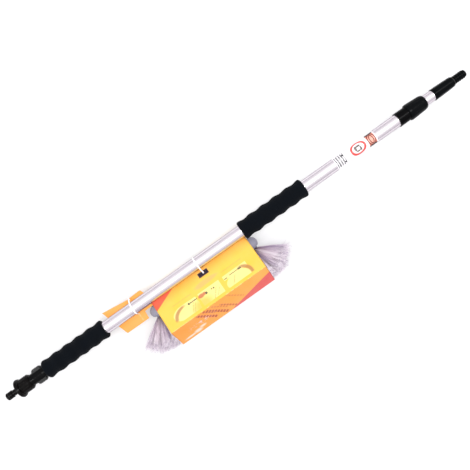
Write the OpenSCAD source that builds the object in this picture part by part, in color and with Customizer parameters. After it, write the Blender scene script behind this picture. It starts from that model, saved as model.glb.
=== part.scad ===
// Telescoping water-fed wash pole, collapsed, tied to its brush head in a card sleeve.
// Millimetres. +X runs along the pole from the hose end to the tip, and +Z is up.
// The origin is on the pole's axis, at the lip of the hose nipple.
// The pole lies in front of the brush, which lies on its side with its bristles towards -Y.

/* [Pole] */
// Outside diameter of the outer tube
outer_d = 25; // [24.5:0.1:25.5]
// Wall of the outer tube
outer_wall = 1.2; // [1.1:0.1:1.4]
// Length of the outer tube
outer_len = 839.5; // [800:0.5:900]
// Outside diameter of the inner tube
inner_d = 20.8; // [20.4:0.1:21]
// Wall of the inner tube
inner_wall = 1; // [0.8:0.1:1.2]
// How far the inner tube slides out
travel = 620; // [400:10:640]
// Length of inner tube that shows when the pole is collapsed
inner_shown = 18.8; // [12:0.2:40]

/* [Grips] */
// Length of the rear grip
rear_grip_len = 139.9; // [120:0.1:145]
// Length of the front grip
front_grip_len = 147.8; // [120:0.1:160]
// Distance from the start of the outer tube to the front grip
front_grip_at = 461.6; // [461.4:0.2:480]
// Mean diameter of a grip
grip_d = 36; // [35:0.1:36.4]
// Height of the finger swells above and below the mean
swell = 1.05; // [0.5:0.05:1.2]
// Number of waists between the swells
grip_waists = 5; // [3:1:7]

/* [Hose end] */
// Diameter of the nipple's head, which a hose coupler slides over
nipple_d = 15; // [14.5:0.1:15.5]
// Diameter of the nipple's locking groove
nipple_neck_d = 12.3; // [11.5:0.1:13]
// Diameter of the round grip disc behind the nipple
disc_d = 38.2; // [36:0.1:40]
// Diameter of the fluted coupling nut
nut_d = 31; // [30:0.1:33]
// Number of flutes in the coupling nut
nut_flutes = 18; // [12:1:22]
// Diameter of the valve core's neck
neck_d = 22.7; // [22:0.1:24]
// Diameter over the two lugs of the valve sleeve
lug_d = 32.7; // [30:0.1:34]
// Width of a lug
lug_w = 14; // [10:0.5:16]
// Turn of the valve sleeve from off to on, in degrees
valve_turn = 90; // [60:5:90]

/* [Twist lock] */
// Diameter of the collar body at its rear edge
collar_d = 28.6; // [28:0.1:30]
// Number of fine rings on the collar body
collar_rings = 8; // [4:1:9]
// Largest diameter of the lock collar
lock_d = 33.8; // [33:0.1:35]
// Diameter of the lock collar near its front
lock_front_d = 30; // [29:0.1:31]
// Number of broad flutes round the lock collar
lock_flutes = 10; // [6:1:12]

/* [Tip] */
// Diameter of the tip's cone at its base
tip_base_d = 23.8; // [23.6:0.1:25]
// Diameter of the tip's cone at its shoulder
tip_top_d = 20.7; // [19:0.1:21]
// Length of the tip's cone
tip_cone_len = 46.0; // [36:0.2:50]
// Diameter over the tip's thread
thread_d = 16.5; // [16:0.1:16.6]
// Number of thread ridges
thread_ridges = 5; // [3:1:5]

/* [Brush head] */
// Length of the block over its bumper
block_len = 257; // [250:1:270]
// Width of the block over its bumper
block_w = 51.4; // [48:0.2:51.4]
// Thickness of the block from its back to its bristle face
block_t = 25.3; // [24:0.1:26]
// Length of the bristles
bristle_len = 71; // [60:1:71]
// Lean of the socket from square, in degrees
socket_lean = 20; // [10:1:22]
// Number of water jets in the bristle plate
jets = 5; // [3:1:7]

/* [Card sleeve] */
// Length of the sleeve along the brush
sleeve_len = 222.8; // [200:0.2:223]
// Thickness of the card
card_t = 0.5; // [0.4:0.05:0.6]

/* [Ties] */
// Width of a tie
tie_w = 2.8; // [2:0.1:3.6]
// Thickness of a tie
tie_t = 1; // [0.8:0.05:1.1]

/* [Hidden] */
$fn = 72;

run = 0.05;    // radial clearance of a running fit
gap = 0.3;     // space between faces that pass each other

outer_r = outer_d / 2;
bore_r = outer_r - outer_wall;
inner_r = inner_d / 2;
inner_bore_r = inner_r - inner_wall;

// Stations along the pole, from the hose end to the tip
x_head_end = 11.5;                        // end of the nipple's head
x_disc = 24;                              // rear face of the grip disc
x_nut = x_disc + 9.8;                     // rear edge of the coupling nut
nut_len = 22;
x_neck = x_nut + nut_len + 0.5;           // rear face of the valve core's neck
x_barrel = x_neck + 8.3;                  // end of the neck
valve_len = 23.2;
x_valve = x_barrel + gap;                 // rear edge of the valve sleeve
x_plug = x_valve + valve_len + gap;       // rear face of the tube plug's shoulder
plug_shoulder = 2;
x_tube = x_plug + plug_shoulder + 0.1;    // rear end of the outer tube
x_tube_end = x_tube + outer_len;
x_collar = x_tube_end - 9.4;              // rear edge of the collar body
collar_len = 23.4;
x_lock = x_collar + collar_len + 0.4;     // rear edge of the lock collar
lock_len = 41.5;
x_tip = x_lock + lock_len + inner_shown;  // rear edge of the tip's cone
x_shoulder = x_tip + tip_cone_len;        // front of the cone
x_thread = x_shoulder + 3.4;              // start of the thread
thread_pitch = 4.6;
x_end = x_thread + 26.3;                  // front end of the tip
bush_len = 27;
x_bush = x_tube_end - bush_len;           // rear face of the stop bush
x_inner = x_bush - travel;                // rear end of the inner tube
x_inner_end = x_tip + 20.3;               // its front end, inside the tip
x_label = x_tube_end - 156.5;
label_len = 93.6;

nipple_r = nipple_d / 2;
water_r = 4;                              // water way through the hose end
barrel_r = 8.75;                          // valve core where the sleeve turns on it
web_x = x_barrel + 10.4;                  // wall that splits the water way
web_t = 4;
port_x = [web_x - 3.5, web_x + web_t + 3.5];
port_r = 2.2;
seal_x = [x_barrel + 3.2, web_x + web_t / 2, x_valve + valve_len - 1.7];
seal_r = 0.8;                             // section radius of a valve O-ring
spigot_r = bore_r - run;
plug_len = 27;
stop_pin_r = 0.7;
stop_pin_at = 10.3;                       // distance of the stop pin from the axis

// Twist lock
collet_x = x_collar + collar_len + 6;     // narrow end of the collet
collet_len = 10.5;
lock_thread_r = 12.6;

// Brush head, in its own frame: X along the block, Y across it, Z from its back to its tips
block_x = 439;                            // middle of the block, along the pole
block_back = 18.5;                        // distance of its back from the pole's axis
floor_z = -62.5;                          // surface that everything rests on
block_z = floor_z + card_t + gap + 0.6 + block_w / 2;
bumper_r = block_t / 2;                   // radius of the bumper's round edge
core_r = block_w / 2 - 8.8;               // half width of the block inside its bumper
spine = block_len - block_w;              // length between the centres of its round ends
plate_t = 6;
socket_r = 14;
socket_bore_r = 8.45;
socket_len = 26;
socket_depth = 20;
seal_seat_r = 7.9;
screw_at = 19.5;                          // distance of each socket screw from the middle

// Card sleeve: its section is a ring of panels, as [y, z] of its outer face
sleeve_x = 551.6 - sleeve_len;            // end nearer the hose
panel_rise = 0.243;                       // slope of the panel that the pole lies on
panel_z = -(outer_r + 0.05) * sqrt(1 + panel_rise * panel_rise);
function panel_at(y) = panel_z - panel_rise * y;
section = [
    [-1, panel_at(-1)], [-82, panel_at(-82)], [-117, -33], [-84, floor_z], [-2, floor_z]
];
slot_x = [434.2, 454.4];
slot_y = [-26.6, -19.2];

// A convex outline moved inwards by d. Its points run anticlockwise.
function unit(v) = v / norm(v);
function left_of(a, b) = let (v = unit(b - a)) [-v[1], v[0]];
function inset(pts, d) = let (n = len(pts)) [
    for (i = [0 : n - 1])
        let (
            before = left_of(pts[(i + n - 1) % n], pts[i]),
            after = left_of(pts[i], pts[(i + 1) % n])
        )
        pts[i] + d * (before + after) / (1 + before * after)
];

// Outline of a grip as [radius, distance along it]: a cosine with rounded ends
grip_round = 4;
function swell_r(u, length) =
    grip_d / 2 + swell * cos(360 * grip_waists * (u - grip_round) / (length - 2 * grip_round));
function end_drop(u, length) =
    let (e = max(0, grip_round - u, grip_round - (length - u)))
    grip_round - sqrt(max(0, grip_round * grip_round - e * e));
function grip_outline(length, steps = 60) = [
    for (i = [0 : steps])
        let (u = length * i / steps)
        [swell_r(u, length) - end_drop(u, length), u]
];

// Turns an outline of [radius, x] about the pole's axis
module lathe(points) rotate([0, 90, 0]) rotate_extrude() polygon(points);

// A round bar along the pole from x0 to x1
module bar(x0, x1, r) translate([x0, 0, 0]) rotate([0, 90, 0]) cylinder(r = r, h = x1 - x0);

// A straight tube along the pole
module pipe(x0, x1, r_out, r_in) {
    difference() {
        bar(x0, x1, r_out);
        bar(x0 - 1, x1 + 1, r_in);
    }
}

// An O-ring round the pole's axis at x, with its middle at radius r
module o_ring(x, r, section_r) {
    translate([x, 0, 0]) rotate([0, 90, 0]) rotate_extrude() translate([r, 0]) circle(section_r);
}

// Cuts a square groove into a shaft of radius r_out, down to radius r_in
module groove(x, width, r_out, r_in) pipe(x - width / 2, x + width / 2, r_out + 1, r_in);

// Places children that repeat round the pole's axis
module around(count) {
    for (i = [0 : count - 1]) rotate([i * 360 / count, 0, 0]) children();
}

// ---------- hose connector, which swivels ----------

module hose_nipple() color("#1a1a1c") {
    r = nipple_r;
    neck = nipple_neck_d / 2;
    disc = disc_d / 2;
    lathe([
        [water_r, -0.8], [r - 0.8, -0.8], [r, 0], [r, 3], [r - 1.5, 3], [r - 1.5, 5.4],
        [r, 5.4], [r, x_head_end], [neck, x_head_end + 1.2], [neck, x_disc],
        [disc - 4, x_disc + 0.8], [disc - 1.2, x_disc + 2.2], [disc, x_disc + 4],
        [disc, x_disc + 6.4], [disc - 1.2, x_disc + 8.8], [disc - 3, x_disc + 9.6],
        [12, x_disc + 9.6], [12, x_disc + 19], [water_r, x_disc + 19]
    ]);
}

module nipple_o_ring() color("#0d0d0d") o_ring(4.2, nipple_r - 0.78, 0.7);

module coupling_nut() color("#18181a") {
    r = nut_d / 2;
    difference() {
        lathe([
            [12 + run, x_nut], [r - 0.5, x_nut], [r, x_nut + 0.5], [r, x_nut + 18.4],
            [r - 1.1, x_nut + 19.8], [12.6, x_nut + nut_len], [9.2, x_nut + nut_len],
            [9.2, x_nut + nut_len - 6.2], [12 + run, x_nut + nut_len - 6.2]
        ]);
        around(nut_flutes) translate([0, 0, r + 0.6]) bar(x_nut + 1.4, x_nut + 17.6, 1.5);
    }
}

module swivel_washer() color("#7c2f22") pipe(x_disc + 19.05, x_disc + 20.9, 11.8, 6);

// ---------- valve ----------

module swivel_spigot() color("#202022") {
    x_bead = x_disc + 21;
    difference() {
        union() {
            bar(x_bead, x_bead + 4.4, 11.8);
            bar(x_bead + 4.3, x_neck - 0.05, 9.15 - run);
            bar(x_neck - 0.1, x_neck + 9.8, 7);
        }
        bar(x_bead - 1, x_neck + 12, 5);
    }
}

module valve_core() color("#161618") {
    difference() {
        union() {
            bar(x_neck, x_barrel, neck_d / 2);
            bar(x_barrel - 0.1, x_plug - 0.05, barrel_r);
            bar(x_plug - 0.1, x_plug + 11.5, 7);
        }
        for (x = [x_neck + 3, x_neck + 5.6]) groove(x, 0.9, neck_d / 2, neck_d / 2 - 0.5);
        for (x = seal_x) groove(x, 1.8, barrel_r, barrel_r - 1.65);
        bar(x_neck - 1, x_neck + 10, 7 + run);
        bar(x_neck + 9, web_x, 4.5);
        bar(web_x + web_t, x_plug + 12, 4.5);
        for (x = port_x) translate([x, 0, 0]) cylinder(r = port_r, h = 2 * neck_d, center = true);
    }
}

module valve_o_rings() color("#0d0d0d") {
    for (x = seal_x) o_ring(x, barrel_r - 1.65 + seal_r + 0.02, seal_r);
}

// A sector of a ring round the pole's axis, from angle a0 by a degrees, measured from +Y to +Z
module sector(x0, x1, r0, r1, a0, a) {
    translate([x0, 0, 0])
        rotate([a0 + 90, 0, 0])
            rotate([0, 90, 0])
                rotate_extrude(angle = a)
                    translate([r0, 0])
                        square([r1 - r0, x1 - x0]);
}

module valve_sleeve() color("#18181a") {
    lug_r = lug_d / 2;
    difference() {
        union() {
            bar(x_valve, x_valve + valve_len, 11.9);
            intersection() {
                lathe([
                    [0, x_valve + 0.6], [lug_r - 3, x_valve + 0.6], [lug_r, x_valve + 3],
                    [lug_r, x_valve + 17.2], [lug_r - 2.4, x_valve + 20], [0, x_valve + 20]
                ]);
                translate([x_valve, -lug_d, -lug_w / 2]) cube([valve_len, 2 * lug_d, lug_w]);
            }
        }
        bar(x_valve - 1, x_valve + valve_len + 1, barrel_r + run);
        for (side = [0, 180])
            sector(port_x[0] - 2.8, port_x[1] + 2.8, barrel_r - 0.5, 11, side - 25, 50);
        sector(
            x_valve + valve_len - 2.6, x_valve + valve_len + 1, stop_pin_at - 0.9,
            stop_pin_at + 0.9, 45 - valve_turn - 6, valve_turn + 12
        );
        translate([x_valve + 3.4, lug_r - 1.6, -3.6]) cube([13, 3, 7.2]);
        around(2) translate([0, 0, 13.2]) bar(x_valve - 1, x_valve + valve_len - 4, 1.8);
    }
}

module valve_marker() color("#4a2c1e") {
    intersection() {
        translate([x_valve + 3.5, lug_d / 2 - 1.55, -3.5]) cube([12.8, 3, 7]);
        bar(x_valve, x_valve + valve_len, lug_d / 2 + 0.1);
    }
}

module valve_stop_pin() color("#a8a8ac") {
    rotate([45, 0, 0]) translate([0, stop_pin_at, 0]) bar(x_plug - 2.3, x_plug + 1.5, stop_pin_r);
}

module tube_plug() color("#1c1c1e") {
    difference() {
        union() {
            bar(x_plug, x_plug + plug_shoulder, outer_r - 0.5);
            bar(x_plug + plug_shoulder - 0.1, x_plug + plug_len, spigot_r);
        }
        bar(x_plug - 1, x_plug + 11.6, 7 + run);
        bar(x_plug + 11, x_plug + plug_len + 1, 6);
        groove(x_plug + 20, 2.4, spigot_r, spigot_r - 1.6);
        rotate([45, 0, 0]) translate([0, stop_pin_at, 0]) bar(x_plug - 1, x_plug + 1.6, stop_pin_r);
    }
}

module tube_plug_o_ring() color("#0d0d0d") o_ring(x_plug + 20, spigot_r - 0.78, 0.8);

// ---------- outer tube and what is fixed on it ----------

module outer_tube() color("#ece8ee") pipe(x_tube, x_tube_end, outer_r, bore_r);

module grip(x0, length) {
    inside = outer_r + 0.03;
    translate([x0, 0, 0])
        lathe(concat([[inside, 0]], grip_outline(length), [[inside, length]]));
}

module rear_grip() color("#101114") grip(x_tube, rear_grip_len);

module front_grip() color("#101114") grip(x_tube + front_grip_at, front_grip_len);

module pole_label() color("#f8f6f8") pipe(x_label, x_label + label_len, outer_r + 0.23, outer_r + 0.03);

module collar_body() color("#141416") {
    r0 = collar_d / 2;
    r1 = r0 - 0.3;
    x1 = x_collar + collar_len;
    difference() {
        lathe([
            [outer_r + 0.03, x_collar], [r0, x_collar], [r1, x1], [lock_thread_r, x1],
            [lock_thread_r, collet_x + collet_len + 1], [11.95, collet_x + collet_len + 1],
            [11.95, collet_x + collet_len], [11.05, collet_x - 0.2], [10.75, collet_x - 0.2],
            [10.75, x_tube_end + 2], [bore_r, x_tube_end + 2], [bore_r, x_tube_end + 0.05],
            [outer_r + 0.03, x_tube_end + 0.05]
        ]);
        for (i = [1 : collar_rings]) groove(x_collar + 2.5 * i, 0.8, r0, r1 - 0.35);
    }
}

module stop_bush() color("#3a3a3e") pipe(x_bush, x_tube_end, bore_r - 0.02, inner_r + run);

module lock_collet() color("#d8d8d2") {
    difference() {
        lathe([
            [inner_r + run, collet_x], [10.95, collet_x],
            [11.85, collet_x + collet_len - 0.1], [inner_r + run, collet_x + collet_len - 0.1]
        ]);
        translate([collet_x - 1, -1, 0]) cube([collet_len + 2, 2, 20]);
    }
}

// ---------- twist lock ----------

module lock_collar() color("#151517") {
    r = lock_d / 2;
    front = lock_front_d / 2;
    x0 = x_lock;
    x1 = x_lock + lock_len;
    lean = atan((r - front) / (lock_len - 12));
    difference() {
        lathe([
            [lock_thread_r + run, x0], [r - 1.6, x0], [r - 0.4, x0 + 1.4], [r, x0 + 4.5],
            [front, x1 - 7.5], [front - 0.7, x1 - 4], [front - 2, x1 - 1.4], [front - 4, x1],
            [inner_r + gap, x1], [inner_r + gap, x1 - 5], [inner_r + 2, x1 - 5],
            [inner_r + 2, x1 - 10], [inner_r + gap, x1 - 10],
            [inner_r + gap, collet_x + collet_len + 1.4],
            [lock_thread_r + run, collet_x + collet_len + 1.4]
        ]);
        around(lock_flutes)
            translate([x0 + 4.5, 0, r + 2.35])
                rotate([0, lean, 0])
                    bar(2, lock_len - 13, 3);
    }
}

module wiper_ring() color("#2c2c30") {
    pipe(x_lock + lock_len - 9.95, x_lock + lock_len - 5.05, inner_r + 1.95, inner_r + run);
}

// ---------- inner tube ----------

module inner_tube() color("#e6e2e8") pipe(x_inner, x_inner_end, inner_r, inner_bore_r);

module piston() color("#3a3a3e") {
    r = bore_r - 0.1;
    difference() {
        union() {
            bar(x_inner - 16, x_inner - 0.05, r);
            bar(x_inner - 0.1, x_inner + 20, inner_bore_r - run);
        }
        bar(x_inner - 17, x_inner + 21, 6);
        for (dx = [4.5, 11]) groove(x_inner - dx, 2.4, r, r - 1.6);
    }
}

module piston_seals() color("#0d0d0d") {
    for (dx = [4.5, 11]) o_ring(x_inner - dx, bore_r - 0.83, 0.8);
}

module tip_adapter() color("#141416") {
    r0 = tip_base_d / 2;
    r1 = tip_top_d / 2;
    crest = thread_d / 2;
    root = crest - 1.25;
    ridges = [
        for (i = [0 : thread_ridges - 1])
            let (x = x_thread + 0.6 + thread_pitch * i)
            each [[root, x], [crest, x + 0.9], [crest, x + 2.3], [root, x + 3.2]]
    ];
    difference() {
        lathe(concat(
            [[inner_r + 0.03, x_tip], [r0 - 0.5, x_tip], [r0, x_tip + 0.5]],
            [[r1, x_shoulder - 0.8], [r1 - 0.8, x_shoulder], [root, x_shoulder]],
            ridges,
            [[root, x_end - 1.2], [root - 1.2, x_end], [5, x_end]],
            [[5, x_inner_end + 1.9], [inner_r + 0.03, x_inner_end + 1.9]]
        ));
        for (i = [1 : 3]) groove(x_tip + 2.2 * i, 0.5, r0, r0 - 0.75);
    }
    // Four low ribs along the cone
    cone_lean = atan((r0 - r1) / (tip_cone_len - 1));
    difference() {
        around(4)
            translate([x_tip + 9, -0.6, r0 - 2.5])
                rotate([0, cone_lean, 0])
                    cube([tip_cone_len - 13, 1.2, 2.4]);
        bar(x_tip, x_inner_end + 1.9, inner_r + 0.03);
    }
}

module tip_plug_o_ring() color("#0d0d0d") o_ring(x_inner_end + 0.95, inner_r - 0.92, 0.88);

module tip_o_ring() color("#0d0d0d") {
    o_ring(x_shoulder + 1.15, thread_d / 2 + 0.05, 0.9);
}

// ---------- brush head ----------

// Puts a shape from the brush's own frame beside the pole
module beside_pole() translate([block_x, -block_back, block_z]) rotate([90, 0, 0]) children();

// Carries a section of [distance from the spine, height] round a shape with straight
// sides and half-round ends
module round_ended(length) {
    for (side = [0, 1])
        rotate([0, 0, 180 * side])
            translate([length / 2, 0, 0])
                rotate([0, 0, -90])
                    rotate_extrude(angle = 180)
                        children();
    for (side = [0, 1])
        rotate([0, 0, 180 * side])
            translate([length / 2, 0, 0])
                rotate([90, 0, -90])
                    linear_extrude(length)
                        children();
}

// A flat slab with straight sides and half-round ends
module slab(length, r, z0, z1) {
    translate([0, 0, z0]) {
        for (side = [-1, 1]) translate([side * length / 2, 0, 0]) cylinder(r = r, h = z1 - z0);
        translate([-length / 2, -r, 0]) cube([length, 2 * r, z1 - z0]);
    }
}

module brush_block() color("#8f96a6") beside_pole() {
    difference() {
        slab(spine, core_r, 0, block_t - plate_t - 1.3);
        slab(spine - 6, core_r - 3.5, 4, block_t);
        translate([0, 0, -1]) cylinder(r = 5, h = 8);
        for (side = [-1, 1])
            translate([side * screw_at, 0, -1]) cylinder(r = 1.5, h = 8);
    }
}

module bristle_plate() color("#8a91a2") beside_pole() {
    difference() {
        slab(spine, core_r, block_t - plate_t, block_t);
        for (i = [0 : jets - 1])
            translate([spine * (i / (jets - 1) - 0.5), 0, block_t - plate_t - 1])
                cylinder(r = 2, h = plate_t + 2);
    }
}

module block_gasket() color("#1c1c1e") beside_pole() {
    difference() {
        slab(spine, core_r - 0.2, block_t - plate_t - 1.25, block_t - plate_t - 0.05);
        slab(spine - 6, core_r - 3.3, 0, block_t);
    }
}

module brush_bumper() color("#7e8696") beside_pole() {
    centre = block_w / 2 - bumper_r;
    round_ended(spine) difference() {
        translate([centre, bumper_r]) circle(bumper_r);
        translate([-block_w, -1]) square([block_w + core_r + 0.1, block_t + 2]);
        translate([centre + bumper_r * cos(52), bumper_r * (1 + sin(52))]) circle(1.8);
    }
}

module brush_socket() color("#6f7788") beside_pole() {
    difference() {
        union() {
            translate([0, 0, -3]) slab(2 * screw_at, 6, 0, 2.95);
            difference() {
                rotate([-socket_lean, 0, 0])
                    translate([0, 0, -socket_len]) cylinder(r = socket_r, h = 2 * socket_len);
                translate([-50, -50, -0.05]) cube(100);
            }
        }
        rotate([-socket_lean, 0, 0]) {
            translate([0, 0, -socket_len - 1]) cylinder(r = socket_bore_r, h = socket_depth + 1);
            translate([0, 0, -socket_len]) cylinder(r = seal_seat_r, h = socket_depth + 1.6);
            translate([0, 0, -socket_len]) cylinder(r = 4.5, h = socket_len + 10);
        }
        for (side = [-1, 1])
            translate([side * screw_at, 0, -10]) cylinder(r = 1.7, h = 20);
    }
}

module socket_seal() color("#0d0d0d") beside_pole() {
    rotate([-socket_lean, 0, 0])
        translate([0, 0, socket_depth - socket_len + 0.05])
            difference() {
                cylinder(r = seal_seat_r - 0.05, h = 1.5);
                translate([0, 0, -1]) cylinder(r = 5.5, h = 4);
            }
}

module socket_screws() color("#b4b4b8") beside_pole() {
    for (side = [-1, 1]) translate([side * screw_at, 0, -3.05]) {
        cylinder(r = 1.45, h = 9);
        difference() {
            translate([0, 0, -1.6]) cylinder(r = 2.8, h = 1.6);
            translate([-3, -0.4, -2]) cube([6, 0.8, 1]);
        }
    }
}

// Where the bristles lie, as [y, z]: they spread from the block to the sleeve's fold
face_y = -block_back - block_t - 0.2;
tips_y = face_y - bristle_len;
bristle_section = [
    [face_y, block_z + 16], [-82.5, 3.6], [tips_y, -33], [-83.5, floor_z + 1],
    [face_y, block_z - 16]
];

module bristle_prism(x0, x1) {
    translate([x0, 0, 0]) rotate([90, 0, 90]) linear_extrude(x1 - x0) polygon(bristle_section);
}

// A fan of bristles at one end, from an outline of [x, y]
module bristle_fan(outline) {
    intersection() {
        translate([0, 0, floor_z]) linear_extrude(90) polygon(outline);
        bristle_prism(block_x - 200, block_x + 200);
    }
}

module bristles_middle() color("#e2cfdc") {
    bristle_prism(sleeve_x + 0.2, sleeve_x + sleeve_len - 0.2);
}

module bristles_rear_end() color("#e2cfdc") {
    x1 = sleeve_x - gap;
    bristle_fan([
        [x1, face_y], [block_x - spine / 2 - 12, face_y], [281, -80], [278, -91],
        [286, -104], [302, -111], [x1, tips_y]
    ]);
}

module bristles_front_end() color("#e2cfdc") {
    x0 = sleeve_x + sleeve_len + gap;
    bristle_fan([
        [x0, face_y], [block_x + spine / 2 + 12, face_y], [603, -70], [605, -79],
        [597, -95], [581, -107], [x0, -112]
    ]);
}

// ---------- card and ties ----------

// Extrudes an outline of [y, z] along the pole
module along_pole(x0, x1) {
    translate([x0, 0, 0]) rotate([90, 0, 90]) linear_extrude(x1 - x0) children();
}

module card_sleeve() color("#fad24f") {
    difference() {
        along_pole(sleeve_x, sleeve_x + sleeve_len) polygon(section);
        along_pole(sleeve_x - 1, sleeve_x + sleeve_len + 1) polygon(inset(section, card_t));
        translate([slot_x[0], slot_y[0], -20])
            cube([slot_x[1] - slot_x[0], slot_y[1] - slot_y[0], 30]);
        // Cut-out in the back panel for the socket and the front tie
        translate([block_x - 26, -4, floor_z + 2]) cube([52, 8, panel_z - card_t - 0.2 - floor_z - 2]);
    }
}

tie_rear_x = 296.5;
tie_front_x = 445.4;
tongue_z = -outer_r - 0.05;
hole_y = -15.1;

module card_tongue() color("#f7b150") {
    difference() {
        translate([0, 0, tongue_z - card_t])
            linear_extrude(card_t)
                polygon([
                    [237.3, 27], [292, 20], [324, 21.5], [328, 11.6], [328, -17.8],
                    [309, -17.8], [307.5, -33.8], [256, -33.8]
                ]);
        translate([tie_rear_x - 2.4, hole_y - 1.2, tongue_z - 5]) cube([4.8, 2.4, 10]);
    }
}

// A closed strap round circles given as [y, z, radius], with its head at [y, z] below it
module strap(x, rounds, head) {
    along_pole(x - tie_w / 2, x + tie_w / 2)
        difference() {
            hull() for (c = rounds) translate([c[0], c[1]]) circle(c[2] + tie_t, $fn = 64);
            hull() for (c = rounds) translate([c[0], c[1]]) circle(c[2], $fn = 64);
        }
    translate([x - tie_w / 2 - 0.9, head[0], head[1]]) cube([tie_w + 1.8, 4.6, 3.4]);
}

module tie_rear() color("#f4f4f6") {
    strap(
        tie_rear_x,
        [[0, 0, outer_r + 0.15], [20.4, tongue_z - card_t / 2, 0.6],
         [-14.3, tongue_z - card_t / 2, 0.5]],
        [4, tongue_z - 4.6]
    );
}

module tie_front() color("#f4f4f6") {
    strap(
        tie_front_x,
        [[0, 0, outer_r + 0.15], [-21.9, -8.5, 1.2], [0, panel_z - card_t - 0.4, 0.3]],
        [-2.3, panel_z - card_t - 4.8]
    );
}

hose_nipple();
nipple_o_ring();
coupling_nut();
swivel_washer();
swivel_spigot();
valve_core();
valve_o_rings();
valve_sleeve();
valve_marker();
valve_stop_pin();
tube_plug();
tube_plug_o_ring();
outer_tube();
rear_grip();
front_grip();
pole_label();
collar_body();
stop_bush();
lock_collet();
lock_collar();
wiper_ring();
inner_tube();
piston();
piston_seals();
tip_adapter();
tip_plug_o_ring();
tip_o_ring();
brush_block();
bristle_plate();
block_gasket();
brush_bumper();
brush_socket();
socket_seal();
socket_screws();
bristles_middle();
bristles_rear_end();
bristles_front_end();
card_sleeve();
card_tongue();
tie_rear();
tie_front();
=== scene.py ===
import math

import bpy
import numpy as np
from bpy.props import (
    FloatProperty, FloatVectorProperty, IntProperty, PointerProperty,
)
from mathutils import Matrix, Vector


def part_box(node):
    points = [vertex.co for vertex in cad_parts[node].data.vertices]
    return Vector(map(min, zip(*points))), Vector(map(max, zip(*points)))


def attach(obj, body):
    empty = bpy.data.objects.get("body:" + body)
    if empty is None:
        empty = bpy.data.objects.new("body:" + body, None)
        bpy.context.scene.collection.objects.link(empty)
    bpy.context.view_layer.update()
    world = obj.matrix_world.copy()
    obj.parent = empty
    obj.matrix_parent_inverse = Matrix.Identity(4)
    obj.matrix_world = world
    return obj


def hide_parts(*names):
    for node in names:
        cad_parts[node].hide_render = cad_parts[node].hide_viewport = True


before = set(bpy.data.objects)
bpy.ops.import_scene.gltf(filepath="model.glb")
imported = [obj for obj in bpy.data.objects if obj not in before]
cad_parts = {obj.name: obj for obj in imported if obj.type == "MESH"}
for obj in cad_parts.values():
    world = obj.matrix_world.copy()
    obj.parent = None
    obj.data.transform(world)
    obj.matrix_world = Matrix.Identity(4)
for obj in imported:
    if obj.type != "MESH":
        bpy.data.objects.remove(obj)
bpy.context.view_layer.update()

bl_info = {
    "name": "Telescoping Wash Pole",
    "version": (1, 0, 0),
    "blender": (4, 5, 0),
    "location": "3D View > Sidebar > Wash Pole",
    "description": "Dresses the wash pole and its sleeved brush head with their real surfaces",
    "category": "Object",
}

MM = 0.001
TUBE_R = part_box("outer_tube")[1].z
FLOOR_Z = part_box("card_sleeve")[0].z


# ---------------------------------------------------------------- materials

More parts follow.
